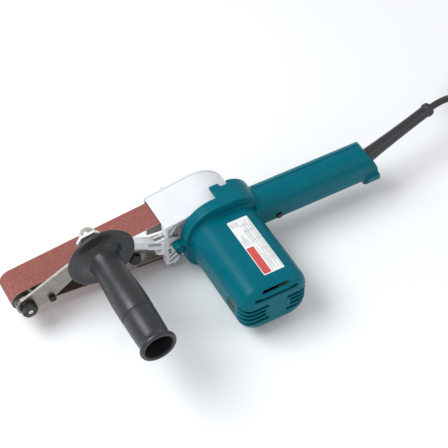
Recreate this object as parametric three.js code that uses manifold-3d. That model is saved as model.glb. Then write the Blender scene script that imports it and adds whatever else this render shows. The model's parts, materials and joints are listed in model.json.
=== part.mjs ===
// A handheld belt sander of the power-file kind: a narrow abrasive belt on an arm, driven by a motor that
// stands across it, with an in-line rear handle, a side grip on the arm and a mains lead.
// Millimetres, +Z up. While the pieces are made, the drive pulley's axis is the Y axis: the belt's nose
// points to -X, the rear handle to +X and the motor to -Y. The last step moves the whole to its own origin.
import * as THREE from "three";
import { mergeVertices } from "three/addons/utils/BufferGeometryUtils.js";
import Module from "manifold-3d";

const wasm = await Module();
wasm.setup();

// ---------------------------------------------------------------- driving dimensions
const GAP = 0.3; // between pieces that touch

const BELT_LENGTH = 533; // measured along its inner face
const BELT_WIDTH = 30;
const BELT_THICK = 1;
const DRIVE_R = 31.6;
const IDLER_R = 10.6;
const BELT_CLEAR = 0.7; // between the pulleys and the belt, so that the idler's axle can tilt

const MODULE = 1; // the gears' tooth module
const TEETH = { pinion: 8, first: 24, second: 14, last: 20 };
const LAYSHAFT_Z = (MODULE * (TEETH.second + TEETH.last)) / 2;
const MOTOR_X = 5.5;
const MOTOR_DROP = Math.sqrt(((MODULE * (TEETH.pinion + TEETH.first)) / 2) ** 2 - MOTOR_X ** 2);
const MOTOR = { x: MOTOR_X, z: LAYSHAFT_Z - MOTOR_DROP };

const BARREL = { x: MOTOR.x, z: 3.8, halfX: 36, halfZ: 29.2, corner: 22, end: -139.5, round: 12 };
const SKIN = 3;
const FLANGE = { left: -36.5, right: 47.5, bottom: -34, top: 46, far: -26.3, near: -38.5, collar: -10.5 };
const FLOOR = FLANGE.bottom;

const HOOD_R = 38;
const HOOD_FRONT = -52;
const HOOD_FAR = 17.3;
const HOOD_SLOPE = THREE.MathUtils.degToRad(8.5);
const WALL_FAR = -17.8; // the casting's wall between belt and gears
const WALL_NEAR = -20.6;
const POST_NEAR = -26;

const HANDLE = { y: -27, z: 10, width: 34, height: 42, corner: 15.5, front: 40 };
const HANDLE_SKIN = 2.6;
const HANDLE_SPLIT = -22;
const GUARD = { x: 176, y: -26.8, z: 12.3 };

const GRIP = { x: -125.7, z: 51, disc: -43.5, length: 115 };
const ARM_PLATE = { far: -21, near: -23.5 };
const SPRING = { x0: -115.2, x1: -98.2, y: -9, z: 2 };

const CORD_D = 7.3;
const COIL = { x: 384, y: -8, inner: 28.6, outer: 58.8, height: 15.4, base: FLOOR + 1.6 };

// ---------------------------------------------------------------- solids
function solid(geometry) {
  geometry.deleteAttribute("normal");
  geometry.deleteAttribute("uv");
  const merged = mergeVertices(geometry, 1e-3);
  const corners = [];
  const index = merged.index.array;
  for (let i = 0; i < index.length; i += 3) {
    const [a, b, c] = [index[i], index[i + 1], index[i + 2]];
    if (a !== b && b !== c && c !== a) corners.push(a, b, c);
  }
  const build = (list) =>
    new wasm.Manifold(
      new wasm.Mesh({
        numProp: 3,
        vertProperties: new Float32Array(merged.attributes.position.array),
        triVerts: new Uint32Array(list),
      }),
    );
  const made = build(corners);
  return made.volume() < 0 ? build(corners.reverse()) : made;
}

const join = (...solids) => solids.reduce((sum, next) => sum.add(next));
const cut = (from, ...tools) => tools.reduce((rest, tool) => rest.subtract(tool), from);

function box(x0, x1, y0, y1, z0, z1) {
  const geometry = new THREE.BoxGeometry(x1 - x0, y1 - y0, z1 - z0);
  return solid(geometry.translate((x0 + x1) / 2, (y0 + y1) / 2, (z0 + z1) / 2));
}

// An outline drawn in X and Z, from y0 up to y1.
function prismY(shape, y0, y1, options = {}) {
  const depth = y1 - y0;
  const settings = { depth, bevelEnabled: false, curveSegments: 3, ...options };
  const geometry = new THREE.ExtrudeGeometry(shape, settings);
  return solid(geometry.rotateX(Math.PI / 2).translate(0, y1, 0));
}

// An outline drawn in Y and Z, from x0 up to x1.
function prismX(shape, x0, x1) {
  const geometry = new THREE.ExtrudeGeometry(shape, {
    depth: x1 - x0,
    bevelEnabled: false,
    curveSegments: 6,
  });
  const turn = new THREE.Matrix4().set(0, 0, 1, x0, 1, 0, 0, 0, 0, 1, 0, 0, 0, 0, 0, 1);
  return solid(geometry.applyMatrix4(turn));
}

function rodY(radius, y0, y1, x = 0, z = 0, sides = 20) {
  const geometry = new THREE.CylinderGeometry(radius, radius, y1 - y0, sides);
  return solid(geometry.translate(x, (y0 + y1) / 2, z));
}

function rodX(radius, x0, x1, y, z, sides = 16) {
  const geometry = new THREE.CylinderGeometry(radius, radius, x1 - x0, sides);
  return solid(geometry.rotateZ(Math.PI / 2).translate((x0 + x1) / 2, y, z));
}

// A profile of [radius, y] points turned about a line along Y.
function turnedY(profile, x = 0, z = 0, sides = 22) {
  const points = profile.map(([radius, y]) => new THREE.Vector2(radius, y));
  return solid(new THREE.LatheGeometry(points, sides).translate(x, 0, z));
}

const ringY = (outer, inner, y0, y1, x = 0, z = 0, sides = 18) =>
  turnedY([[inner, y0], [outer, y0], [outer, y1], [inner, y1], [inner, y0]], x, z, sides);

function polygon(points) {
  return new THREE.Shape(points.map(([a, b]) => new THREE.Vector2(a, b)));
}

// A rectangle with its own radius at each corner: lower left, lower right, upper right, upper left.
function roundedBox(left, right, bottom, top, radii) {
  const [ll, lr, ur, ul] = Array.isArray(radii) ? radii : [radii, radii, radii, radii];
  const shape = new THREE.Shape();
  shape.moveTo(left + ll, bottom);
  shape.absarc(right - lr, bottom + lr, lr, -Math.PI / 2, 0);
  shape.absarc(right - ur, top - ur, ur, 0, Math.PI / 2);
  shape.absarc(left + ul, top - ul, ul, Math.PI / 2, Math.PI);
  shape.absarc(left + ll, bottom + ll, ll, Math.PI, (3 * Math.PI) / 2);
  return shape;
}

// The motor barrel's outline, drawn in by an inset.
const barrelShape = (inset) =>
  roundedBox(
    BARREL.x - BARREL.halfX + inset,
    BARREL.x + BARREL.halfX - inset,
    BARREL.z - BARREL.halfZ + inset,
    BARREL.z + BARREL.halfZ - inset,
    BARREL.corner - inset,
  );

function tube(points, radius, sides, steps) {
  const path = new THREE.CatmullRomCurve3(points.map((p) => new THREE.Vector3(...p)));
  const section = new THREE.Shape();
  for (let i = 0; i < sides; i++) {
    const turn = (2 * Math.PI * i) / sides;
    section[i ? "lineTo" : "moveTo"](radius * Math.cos(turn), radius * Math.sin(turn));
  }
  return solid(new THREE.ExtrudeGeometry(section, { steps, bevelEnabled: false, extrudePath: path }));
}

// A spur gear along Y, with a tooth centred on the angle phase (in the XZ plane, from +X towards +Z).
function gear(teeth, y0, y1, phase, x = 0, z = 0) {
  const pitch = (teeth * MODULE) / 2;
  const tip = pitch + 0.8 * MODULE;
  const root = pitch - 1.05 * MODULE;
  const step = (2 * Math.PI) / teeth;
  const outline = [];
  for (let i = 0; i < teeth; i++) {
    const middle = phase + i * step;
    for (const [radius, share] of [[root, -0.26], [tip, -0.1], [tip, 0.1], [root, 0.26]]) {
      const turn = middle + share * step;
      outline.push([x + radius * Math.cos(turn), z + radius * Math.sin(turn)]);
    }
  }
  return prismY(polygon(outline), y0, y1);
}

// ---------------------------------------------------------------- the scene graph
const sander = new THREE.Group();

const paint = (color, roughness, metalness = 0) => ({ color, roughness, metalness });
const TEAL = paint(0x00747e, 0.42);
const BLACK = paint(0x2b2c2e, 0.55);
const CASTING = paint(0xdfe2e4, 0.4, 0.55);
const STEEL = paint(0xb4afa6, 0.35, 0.9);
const DARK_STEEL = paint(0x34332f, 0.45, 0.8);
const BRASS = paint(0xc0a050, 0.35, 0.9);
const COPPER = paint(0xb06a3a, 0.35, 0.9);
const ABRASIVE = paint(0x93443a, 0.9);

function add(name, body, look) {
  const made = body.getMesh();
  const geometry = new THREE.BufferGeometry();
  geometry.setAttribute("position", new THREE.BufferAttribute(made.vertProperties, 3));
  geometry.setIndex(new THREE.BufferAttribute(made.triVerts, 1));
  const mesh = new THREE.Mesh(geometry, new THREE.MeshStandardMaterial(look));
  mesh.name = name;
  sander.add(mesh);
}

// A screw along Y whose head's face looks to -Y (side = -1) or +Y (side = 1) and touches y.
function screwY(x, z, y, side, head, shank, length) {
  const span = (a, b) => [Math.min(a, b), Math.max(a, b)];
  const depth = span(y + side * 1.4, y + side * 9);
  const recess = box(x - 0.45 * head, x + 0.45 * head, ...depth, z - 0.5, z + 0.5);
  const cap = rodY(head, ...span(y, y + side * 2.6), x, z, 18);
  return cut(join(cap, rodY(shank, ...span(y + side * 0.2, y - side * length), x, z, 12)), recess);
}

// ---------------------------------------------------------------- belt, pulleys and their shafts
const innerIdler = IDLER_R + BELT_CLEAR;
const innerDrive = DRIVE_R + BELT_CLEAR;

// The distance between the pulleys' axes that takes up the belt's length.
function centreDistance() {
  let distance = BELT_LENGTH / 2;
  for (let i = 0; i < 40; i++) {
    const tilt = Math.asin((innerDrive - innerIdler) / distance);
    const arcs = Math.PI * (innerDrive + innerIdler) + 2 * tilt * (innerDrive - innerIdler);
    distance = (BELT_LENGTH - arcs) / (2 * Math.cos(tilt));
  }
  return distance;
}
const CENTRES = centreDistance();
const TILT = Math.asin((innerDrive - innerIdler) / CENTRES);
const IDLER_X = -CENTRES;

// The outline of the belt's path at a given distance outside its inner face.
function beltPath(offset) {
  const path = new THREE.Path();
  const quarter = Math.PI / 2 + TILT;
  path.absarc(0, 0, innerDrive + offset, -quarter, quarter);
  path.absarc(IDLER_X, 0, innerIdler + offset, quarter, 2 * Math.PI - quarter);
  return path;
}

function beltShape(offset) {
  return new THREE.Shape(beltPath(offset).getPoints(9));
}

const half = BELT_WIDTH / 2;
const beltLoop = beltShape(BELT_THICK);
beltLoop.holes.push(new THREE.Path(beltPath(0).getPoints(9)));
add("abrasive_belt", prismY(beltLoop, -half, half), ABRASIVE);

add(
  "drive_pulley",
  turnedY([
    [4.3, -14], [11, -14], [11, -4], [26, -4], [28, -half], [DRIVE_R, -half], [DRIVE_R, half], [28, half],
    [26, 3], [11, 3], [11, 14], [4.3, 14], [4.3, -14],
  ]),
  STEEL,
);

const BEARING_R = 11;
const GEAR_LAST = { y0: -35.7, y1: -30.3 };
const GEAR_FIRST = { y0: -45.6, y1: -39.6 };
add("spindle", rodY(4, -37.2, 20.8), STEEL);
add("spindle_bearing_near", ringY(BEARING_R, 4.3, -27.2, -20.4), STEEL);
add("spindle_bearing_far", ringY(8, 4.3, 16.4, 20.8), STEEL);

// The meshing phases: a tooth of one gear faces a gap of the other on the line between their axes.
const toLayshaft = Math.PI / 2;
const toMotor = Math.atan2(MOTOR.z - LAYSHAFT_Z, MOTOR.x);
const halfStep = (teeth) => Math.PI / teeth;
add(
  "spindle_gear",
  cut(gear(TEETH.last, GEAR_LAST.y0, GEAR_LAST.y1, toLayshaft), rodY(4.3, -40, -28)),
  STEEL,
);
add(
  "layshaft_gear",
  join(
    gear(TEETH.second, GEAR_LAST.y0, GEAR_LAST.y1, -toLayshaft + halfStep(TEETH.second), 0, LAYSHAFT_Z),
    gear(TEETH.first, GEAR_FIRST.y0, GEAR_FIRST.y1, toMotor, 0, LAYSHAFT_Z),
    rodY(3.5, -52, -24.5, 0, LAYSHAFT_Z, 14),
    rodY(5.4, -46.6, -29.3, 0, LAYSHAFT_Z, 14),
  ),
  STEEL,
);

// ---------------------------------------------------------------- the motor
const motorGear = gear(
  TEETH.pinion,
  GEAR_FIRST.y0 - 0.6,
  GEAR_FIRST.y1 + 0.6,
  toMotor + Math.PI + halfStep(TEETH.pinion),
  MOTOR.x,
  MOTOR.z,
);
const CORE = { y0: -106, y1: -74 };
const BRUSH_Y = -116;
add("armature_shaft", join(motorGear, rodY(2.8, -47, -38.4, MOTOR.x, MOTOR.z, 16),
  rodY(4, -134.5, -46.4, MOTOR.x, MOTOR.z, 16)), STEEL);
add("armature_core", ringY(17.4, 4.3, CORE.y0, CORE.y1, MOTOR.x, MOTOR.z), DARK_STEEL);
add("commutator", ringY(11, 4.3, -122, -110, MOTOR.x, MOTOR.z), COPPER);
add("armature_bearing_near", ringY(9.5, 4.3, -133.5, -127.5, MOTOR.x, MOTOR.z), STEEL);
add("armature_bearing_far", ringY(BEARING_R, 4.3, -54, -48, MOTOR.x, MOTOR.z), STEEL);

function fan() {
  const hub = ringY(7, 4.3, -69, -58.5, MOTOR.x, MOTOR.z);
  const blades = [];
  for (let i = 0; i < 9; i++) {
    const blade = new THREE.BoxGeometry(15.5, 8, 1.4).translate(14.2, -64, 0);
    blades.push(solid(blade.rotateY((2 * Math.PI * i) / 9).translate(MOTOR.x, 0, MOTOR.z)));
  }
  return join(hub, ringY(22.4, 6, -60.5, -58.5, MOTOR.x, MOTOR.z), ...blades);
}
add("fan", fan(), BLACK);

function stator() {
  const core = prismY(barrelShape(SKIN + 2), CORE.y0, CORE.y1);
  const coils = rodY(23, CORE.y0 - 3, CORE.y1 + 3, MOTOR.x, MOTOR.z, 24);
  return cut(join(core, coils), rodY(18.4, -120, -60, MOTOR.x, MOTOR.z, 24));
}
add("stator", stator(), DARK_STEEL);

for (const [side, label] of [[-1, "left"], [1, "right"]]) {
  const at = (from, to) => [MOTOR.x + side * from, MOTOR.x + side * to].sort((a, b) => a - b);
  const tunnel = box(...at(0, 60), BRUSH_Y - 3.8, BRUSH_Y + 3.8, MOTOR.z - 3, MOTOR.z + 3);
  const shell = box(...at(12.5, 29), BRUSH_Y - 5, BRUSH_Y + 5, MOTOR.z - 4.2, MOTOR.z + 4.2);
  add("brush_holder_" + label, cut(shell, tunnel), BRASS);
  add("carbon_brush_" + label,
    box(...at(11.4, 24), BRUSH_Y - 3.5, BRUSH_Y + 3.5, MOTOR.z - 2.7, MOTOR.z + 2.7), BLACK);
  const slot = box(...at(34.4, 40), BRUSH_Y - 4.6, BRUSH_Y + 4.6, MOTOR.z - 0.7, MOTOR.z + 0.7);
  const capHead = rodX(6.6, ...at(30.5, 35.4), BRUSH_Y, MOTOR.z);
  const capThread = rodX(5, ...at(29.4, 31), BRUSH_Y, MOTOR.z);
  add("brush_cap_" + label, cut(join(capHead, capThread), slot), BLACK);
}

// ---------------------------------------------------------------- teal body: gear flange, barrel, handle
const flangeShape = (inset) =>
  roundedBox(FLANGE.left + inset, FLANGE.right - inset, FLANGE.bottom + inset, FLANGE.top - inset,
    [30 - inset, 22 - inset, 28 - inset, 36 - inset]);

function handleSection(inset, grow = 0) {
  const w = HANDLE.width / 2 - inset + grow;
  const h = HANDLE.height / 2 - inset + grow;
  return roundedBox(HANDLE.y - w, HANDLE.y + w, HANDLE.z - h, HANDLE.z + h, HANDLE.corner - inset);
}

// The handle seen from its side: a level top, a raked rear end and a lip under it.
function handleProfile(inset) {
  const top = HANDLE.z + HANDLE.height / 2 - inset;
  const low = HANDLE.z - HANDLE.height / 2 + inset;
  return polygon([
    [HANDLE.front - inset, low], [158, low], [169, low - 1], [178, low - 3.5], [184 - inset, low - 3],
    [185 - inset, low + 3], [180.5 - inset, 12], [175 - inset, top - 8], [169 - inset, top],
    [HANDLE.front - inset, top],
  ]);
}

function handleSolid(inset) {
  const straight = prismX(handleSection(inset), HANDLE.front - inset, 190);
  const flare = prismX(handleSection(inset, 3), 168 + inset, 190);
  const lip = box(166, 190, -60, 0, -30, 4);
  const body = join(straight, flare.intersect(lip));
  return body.intersect(prismY(handleProfile(inset), -60, 0));
}

const LUGS = [
  { x: -40, z: 3, near: -36 },
  { x: 44, z: -20, near: -43 },
];
const BUTTON = { x: 65, z: 3 };
const VENT_ROWS = [28, 21.8, 9.6, 3.8, -2.2, -8.2];
const VENT_HEIGHT = 3.2;
const VENT_BOSS = { x: 7, z: 1, radius: 13 };

// The vent slots on the barrel's end: two full rows on top, and four that run round both edges to a boss.
function ventSlots() {
  const deep = [BARREL.end - 1, BARREL.end + BARREL.round];
  return VENT_ROWS.flatMap((z, row) => {
    const level = [z - VENT_HEIGHT / 2, z + VENT_HEIGHT / 2];
    if (row < 2) {
      const reach = 14 + 9 * row;
      return [box(BARREL.x - reach, BARREL.x + reach, ...deep, ...level)];
    }
    const clear = Math.sqrt(VENT_BOSS.radius ** 2 - (z - VENT_BOSS.z) ** 2);
    return [
      box(BARREL.x - 50, VENT_BOSS.x - clear, ...deep, ...level),
      box(VENT_BOSS.x + clear, BARREL.x + 50, ...deep, ...level),
    ];
  });
}

const splitFar = box(HANDLE.front + 9, 400, HANDLE_SPLIT + GAP / 2, 100, -100, 100);
const triggerWindow = box(52, 94, -33.6, -18.8, -30, 0);
const guardBore = join(
  rodX(8.1, 150, 200, GUARD.y, GUARD.z),
  rodX(9.6, 174, 200, GUARD.y, GUARD.z),
  rodX(10.4, 164, 171, GUARD.y, GUARD.z),
);
const HANDLE_SCREWS = [[121, 14], [152, 5]];

// The motor's barrel from its rounded end up to y1.
function barrelSolid(inset, y1) {
  const round = BARREL.round - inset;
  const whole = prismY(barrelShape(BARREL.round), BARREL.end + BARREL.round, y1 + 1, {
    bevelEnabled: true, bevelThickness: round, bevelSize: round, bevelSegments: 5, curveSegments: 7,
  });
  return cut(whole, box(-100, 100, y1, 100, -100, 100));
}

function motorHousing() {
  const flange = prismY(flangeShape(0), FLANGE.near, FLANGE.far, { curveSegments: 7 });
  const collar = cut(
    prismY(flangeShape(0), FLANGE.far - 0.1, FLANGE.collar, { curveSegments: 7 }),
    rodY(HOOD_R + 0.8, -40, 0, 0, 0, 40),
    box(-60, 3.5, -40, 0, -60, 60),
    box(-60, 60, -40, 0, -60, HANDLE.z - HANDLE.height / 2),
    box(14, 22, -15, 0, 30, 60),
  );
  const lugs = LUGS.map(({ x, z, near }) => rodY(6, near, FLANGE.far - GAP, x, z, 16));
  const shell = join(barrelSolid(0, FLANGE.near + 1), flange, collar, ...lugs, handleSolid(0));
  const gearRoom = prismY(flangeShape(4), FLANGE.near + SKIN, 0);
  const inside = join(barrelSolid(SKIN, FLANGE.near + SKIN + 1), gearRoom);
  const handleRoom = cut(handleSolid(HANDLE_SKIN), box(0, 47, -60, 0, -60, 60));
  const seat = ringY(12.5, 9.8, BARREL.end + SKIN - 0.5, -127, MOTOR.x, MOTOR.z);
  const brushBore = rodX(6.9, MOTOR.x - 60, MOTOR.x + 60, BRUSH_Y, MOTOR.z);
  const farSide = box(HANDLE.front + 9 - GAP, 400, HANDLE_SPLIT - GAP / 2, 100, -100, 100);
  const screwBores = LUGS.flatMap(({ x, z, near }) => [
    rodY(2.6, -60, -20, x, z, 12),
    rodY(5, -60, near + 4, x, z, 14),
  ]);
  const pegs = HANDLE_SCREWS.map(([x, z]) => rodY(4.5, -42.5, HANDLE_SPLIT - GAP, x, z, 12));
  const pegBores = HANDLE_SCREWS.map(([x, z]) => rodY(1.9, -38, -20, x, z, 12));
  return cut(
    join(cut(shell, inside, handleRoom), seat, ...pegs),
    farSide, brushBore, triggerWindow, guardBore, ...ventSlots(), ...screwBores, ...pegBores,
    rodY(3.3, -60, -36, BUTTON.x, BUTTON.z, 16),
    rodY(5.6, -42.4, -36, BUTTON.x, BUTTON.z, 16),
  );
}
add("motor_housing", motorHousing(), TEAL);

// A thin plate on top of the barrel.
const plateRoom = box(1, 23.3, -122.5, -50.5, BARREL.z + 20, BARREL.z + 40);
add("name_plate",
  cut(
    prismY(barrelShape(-0.55), -124, -49, { curveSegments: 7 }),
    prismY(barrelShape(-0.15), -125, -48, { curveSegments: 7 }),
  ).intersect(plateRoom),
  paint(0xe8e8e4, 0.4));

function handleCover() {
  const shell = cut(handleSolid(0), handleSolid(HANDLE_SKIN)).intersect(splitFar);
  const pegs = HANDLE_SCREWS.map(([x, z]) => rodY(4.5, HANDLE_SPLIT + GAP / 2, -11, x, z, 12));
  const bores = HANDLE_SCREWS.flatMap(([x, z]) => [
    rodY(1.9, -30, 0, x, z, 12),
    rodY(3.8, -13, 0, x, z, 16),
  ]);
  return cut(join(shell, ...pegs), triggerWindow, guardBore, ...bores,
    prismY(flangeShape(-GAP), -60, 0));
}
add("handle_cover", handleCover(), TEAL);
HANDLE_SCREWS.forEach(([x, z], i) =>
  add("handle_screw_" + (i + 1), screwY(x, z, -12.7, 1, 3.4, 1.6, 18), DARK_STEEL));
LUGS.forEach(({ x, z, near }, i) =>
  add("housing_screw_" + (i + 1), screwY(x, z, near + 4 - GAP, -1, 4.4, 2.2, -near - 26), DARK_STEEL));

function gearPlate() {
  const plate = prismY(barrelShape(SKIN + 0.5), -53.5, -48.4);
  return cut(plate, rodY(BEARING_R + GAP, -60, -40, MOTOR.x, MOTOR.z),
    rodY(3.8, -60, -40, 0, LAYSHAFT_Z, 16));
}
add("gear_plate", gearPlate(), CASTING);

// ---------------------------------------------------------------- the hood and wall round the drive pulley
function hoodOutline(inset) {
  const r = HOOD_R - inset;
  const shape = new THREE.Shape();
  shape.absarc(0, 0, r, -Math.PI / 3, Math.PI / 2 + HOOD_SLOPE);
  shape.lineTo(HOOD_FRONT, r / Math.cos(HOOD_SLOPE) + HOOD_FRONT * Math.tan(HOOD_SLOPE));
  shape.lineTo(HOOD_FRONT, -25);
  shape.lineTo(-16, -30);
  return shape;
}

const ARM_SCREW_Y = -22.8;
const ARM_SCREW_Z = [-4, 15];

function gearHousing() {
  const block = prismY(hoodOutline(0), WALL_NEAR, HOOD_FAR, { curveSegments: 14 });
  const beltRoom = join(
    prismY(beltShape(BELT_THICK + 1.2), WALL_FAR, 40),
    box(-120, HOOD_FRONT + 4, WALL_FAR, 40, -60, 24),
    box(HOOD_FRONT - 1, 26, WALL_FAR, 40, -60, -18),
  );
  const inside = prismY(hoodOutline(3), -60, 0, { curveSegments: 14 });
  const lip = cut(
    prismY(hoodOutline(0), POST_NEAR, WALL_NEAR + 0.1, { curveSegments: 14 }),
    inside.intersect(box(HOOD_FRONT + 9.5, 60, -60, 0, -60, 60)),
    box(-40, 60, -60, 0, -60, -12),
  );
  const collar = cut(
    ringY(36, 32.5, POST_NEAR, WALL_NEAR + 0.1, 0, 0, 28),
    box(-40, 40, -40, 0, -40, FLOOR + 0.4),
  );
  const seat = rodY(14.5, -28.6, WALL_NEAR + 0.1);
  const layshaftBoss = rodY(6.5, -28.6, WALL_NEAR + 0.1, 0, LAYSHAFT_Z, 18);
  const lug = rodY(6.5, POST_NEAR, WALL_NEAR + 0.1, LUGS[0].x, LUGS[0].z, 16);
  const slots = [0, 8].map((drop) => {
    const outline = polygon([[-45, -10 - drop], [-43, -12.4 - drop], [-33, -4.4 - drop], [-35, -2 - drop]]);
    return prismY(outline, -40, -10);
  });
  return cut(
    join(block, lip, collar, seat, layshaftBoss, lug),
    beltRoom,
    rodY(BEARING_R + GAP, -27.5, -10),
    rodY(6.5, -40, -20),
    rodY(3.8, -40, -24, 0, LAYSHAFT_Z, 16),
    rodY(2.6, -40, -21.2, LUGS[0].x, LUGS[0].z, 12),
    rodY(1.6, -40, -22, -47, -8, 12),
    ...slots,
    ...ARM_SCREW_Z.map((z) => rodX(2.3, -60, -30, ARM_SCREW_Y, z, 12)),
    ...ARM_SCREW_Z.map((z) => rodX(4, -42.4, -30, ARM_SCREW_Y, z, 14)),
  );
}
add("gear_housing", gearHousing(), CASTING);
ARM_SCREW_Z.forEach((z, i) =>
  add("arm_screw_" + (i + 1),
    join(rodX(3.6, -42, -38.4, ARM_SCREW_Y, z, 6), rodX(1.9, -63, -41.9, ARM_SCREW_Y, z, 12)), DARK_STEEL));

const COVER_SCREWS = [[-30, 27], [22, -20]];
function sideCover() {
  const plate = prismY(hoodOutline(0), HOOD_FAR + GAP, 20, { curveSegments: 14 });
  const boss = rodY(10.5, 16.2, 22.4, 0, 0, 28);
  const front = cut(box(-60, 60, 10, 30, -60, 60), box(HOOD_FRONT - 1, 60, 0, 40, -27, 60));
  const screwHoles = COVER_SCREWS.map(([x, z]) => rodY(2, 0, 30, x, z, 12));
  return cut(join(plate, boss), front, rodY(8 + GAP, 10, 21.2), ...screwHoles);
}
add("side_cover", sideCover(), CASTING);
COVER_SCREWS.forEach(([x, z], i) =>
  add("side_cover_screw_" + (i + 1), screwY(x, z, 20 + GAP, 1, 3.6, 1.7, 3.2), STEEL));

// ---------------------------------------------------------------- the cast arm and what it carries
const GUIDES = [[-126, 12], [-85, 4.5]];
const GUIDE_R = 3;
const TRAVEL = 8; // how far the idler's arm slides back against its spring

function castArm() {
  const bar = prismY(polygon([
    [HOOD_FRONT - GAP, 17], [-62, 16.5], [-84, 28.5], [-106, 44], [-113, 51], [-117, 58], [-121, 61],
    [-135, 60],
    [-139.5, 53], [-137.5, 46], [-134, 42], [-112, 33.5], [-84, 19.5], [-72, 12], [-64, 3], [-60, -4],
    [HOOD_FRONT - GAP, -7],
  ]), -26.5, WALL_FAR);
  const thin = box(-160, -104, -40, -21, 0, 80);
  const lobe = prismY(polygon([
    [-132, 46], [-138, 24], [-132, 2], [-120, -6], [-92, -7], [-80, -5], [-76, 4], [-80, 12], [-98, 14],
    [-104, 20], [-104, 38],
  ]), WALL_NEAR, WALL_FAR);
  const seat = box(-97.8, -95, -18, -4.5, -2.5, 6.5);
  const pockets = [0, 9].map((drop) =>
    prismY(polygon([[-71, 19 - drop], [-57, 12 - drop], [-57, 8 - drop], [-70, 14.6 - drop]]), -40, -22.5));
  return cut(
    join(cut(bar, thin), lobe, seat),
    box(-120.5, -105.5, -30, -10, -2, 6),
    rodY(4 + GAP, -40, 0, GRIP.x, GRIP.z, 14),
    ...GUIDES.map(([x, z]) => rodY(GUIDE_R + GAP, -40, -10, x, z, 14)),
    ...pockets,
    ...ARM_SCREW_Z.map((z) => rodX(2.2, -63.5, -40, ARM_SCREW_Y, z, 12)),
  );
}
add("cast_arm", castArm(), CASTING);

// The pressure plate that backs the belt's lower run, with two ears that the guide bolts hold.
function platen() {
  const middle = (IDLER_X + 28) / 2 - 2;
  const slab = new THREE.BoxGeometry(100, 28, 2.2).rotateY(TILT);
  const depth = innerDrive / Math.cos(TILT) + middle * Math.tan(TILT);
  const plate = solid(slab.translate(middle, 0, -depth + 0.6 + 1.1));
  const ears = GUIDES.map(([x, z]) => {
    const floor = -innerDrive / Math.cos(TILT) - x * Math.tan(TILT) + 1.4;
    const ear = box(x - 6, x + 6, -16.9, -14.6, floor, z + 5);
    const foot = box(x - 6, x + 6, -16.9, -10, floor, floor + 1.8);
    return join(ear, foot);
  });
  return cut(join(plate, ...ears), ...GUIDES.map(([x, z]) => rodY(GUIDE_R + GAP, -20, -10, x, z, 16)));
}
add("platen", platen(), STEEL);

GUIDES.forEach(([x, z], i) =>
  add("guide_bolt_" + ["front", "rear"][i],
    join(
      rodY(6, -28.4, -24.6, x, z, 6),
      rodY(6.8, -25, -23.8, x, z, 18),
      rodY(GUIDE_R, -24, -13.4, x, z, 14),
    ),
    DARK_STEEL));

function springCoil() {
  const turns = 4;
  const points = [];
  for (let i = 0; i <= turns * 9; i++) {
    const turn = (2 * Math.PI * i) / 9;
    const along = SPRING.x0 + 0.8 + ((SPRING.x1 - SPRING.x0 - 1.6) * i) / (turns * 9);
    points.push([along, SPRING.y + 3.2 * Math.cos(turn), SPRING.z + 3.2 * Math.sin(turn)]);
  }
  return tube(points, 0.6, 5, turns * 9);
}
add("tension_spring", springCoil(), STEEL);

const TRACK_SCREW = { x: IDLER_X + 25, z: -1.5 };

function idlerArm() {
  const shape = new THREE.Shape();
  shape.absarc(IDLER_X, 0, 10.5, THREE.MathUtils.degToRad(118), THREE.MathUtils.degToRad(305));
  for (const [x, z] of [
    [-170, -3.5], [-163, 1.5], [-149, 11], [-138, 3], [-124, -5], [-110, -8], [-84, -7], [-76, -4.5],
    [-73, 1],
    [-75, 5.5], [-84, 11], [-112, 27], [-139, 35], [-147, 34.5], [-153, 32.5],
  ]) shape.lineTo(x, z);
  const slots = GUIDES.map(([x, z]) => join(
    rodY(GUIDE_R + GAP, -40, 0, x, z, 16),
    rodY(GUIDE_R + GAP, -40, 0, x - TRAVEL, z, 16),
    box(x - TRAVEL, x, -40, 0, z - GUIDE_R - GAP, z + GUIDE_R + GAP),
  ));
  const plate = prismY(shape, ARM_PLATE.near, ARM_PLATE.far);
  const tab = box(-118, -115.5, ARM_PLATE.near, -5, -1.2, 5.2);
  return cut(join(plate, tab), ...slots, rodY(4.8, -40, 0, IDLER_X, 0, 20),
    rodY(2.3, -40, 0, TRACK_SCREW.x, TRACK_SCREW.z, 14));
}
add("idler_arm", idlerArm(), STEEL);

// The idler's axle with the lever that the tracking screw pushes.
add("idler_axle", join(
  rodY(3, -19, 16.5, IDLER_X, 0, 16),
  rodY(4.3, -27, -18.9, IDLER_X, 0, 16),
  rodY(8, -19.6, -17.4, IDLER_X, 0),
  box(IDLER_X, IDLER_X + 28, -19.4, -17.6, -4, 2.2),
), STEEL);
add("axle_nut", cut(
  join(rodY(7.3, -33.2, -24.1, IDLER_X, 0, 6), rodY(8, -25.4, -23.9, IDLER_X, 0)),
  rodY(4.6, -27.3, 0, IDLER_X, 0, 16),
  rodY(1.6, -40, -31.8, IDLER_X, 0, 12),
), DARK_STEEL);
add("idler_roller", turnedY([
  [3.3, -half], [6.5, -half], [6.5, -13.5], [9, -13.5], [9, -half], [IDLER_R, -half], [IDLER_R, half],
  [3.3, half], [3.3, -half],
], IDLER_X, 0, 22), STEEL);
add("tracking_screw", cut(
  join(
    rodY(2, -27.2, -20.2, TRACK_SCREW.x, TRACK_SCREW.z, 12),
    rodY(3.4, -27.2, -24, TRACK_SCREW.x, TRACK_SCREW.z, 14),
  ),
  box(TRACK_SCREW.x - 4, TRACK_SCREW.x + 4, -30, -26, TRACK_SCREW.z - 0.5, TRACK_SCREW.z + 0.5),
), DARK_STEEL);

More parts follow.
